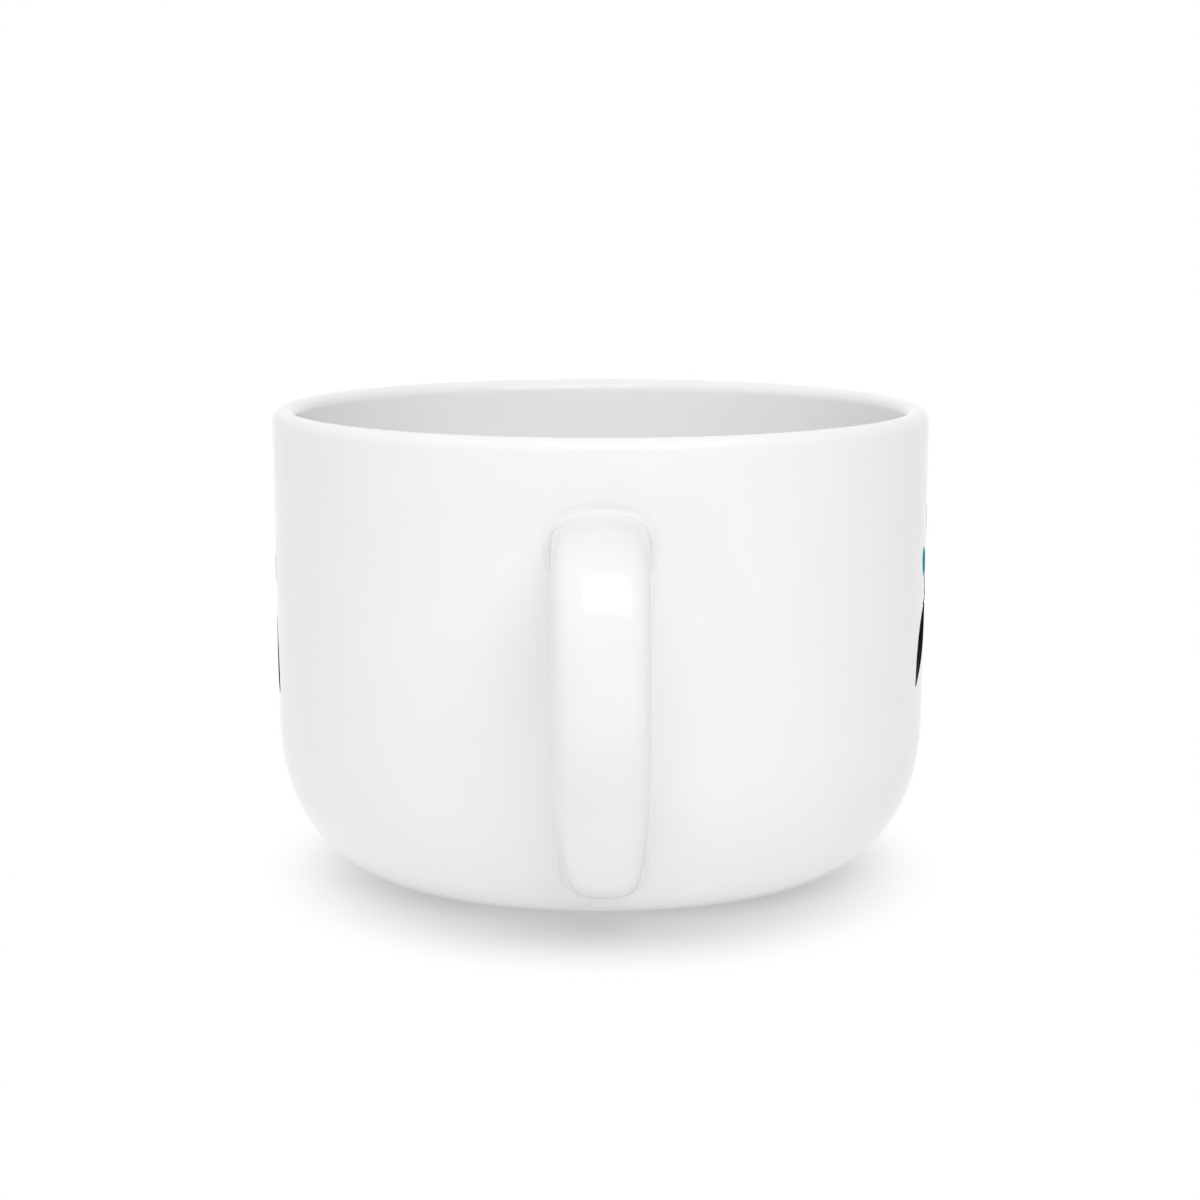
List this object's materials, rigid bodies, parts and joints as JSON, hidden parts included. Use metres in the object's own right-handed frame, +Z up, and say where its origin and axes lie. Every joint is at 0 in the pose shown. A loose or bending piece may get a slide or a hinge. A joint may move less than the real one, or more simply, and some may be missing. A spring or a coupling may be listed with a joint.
{
  "type": "latte mug",
  "caption": "Wide stoneware latte mug with a round lip, a rounded belly on a recessed foot ring and a strap handle stuck on with slip.",
  "frame": {"origin": "On the table, under the middle of the mug's plan box: the bowl's axis stands 16.7 mm from it, towards +Y", "axes": "+Z up through the mouth, and the handle points along -Y"},
  "size_m": [0.11, 0.1434, 0.078],
  "materials": {
    "bowl_glaze": "clear gloss glaze over white stoneware",
    "handle_glaze": "clear gloss glaze over white stoneware",
    "slip_glaze": "clear gloss glaze over sponged slip"
  },
  "bodies": {
    "root": {"mug_body": "bowl_glaze", "handle": "handle_glaze", "upper_slip_joint": "slip_glaze", "lower_slip_joint": "slip_glaze"}
  },
  "joints": []
}
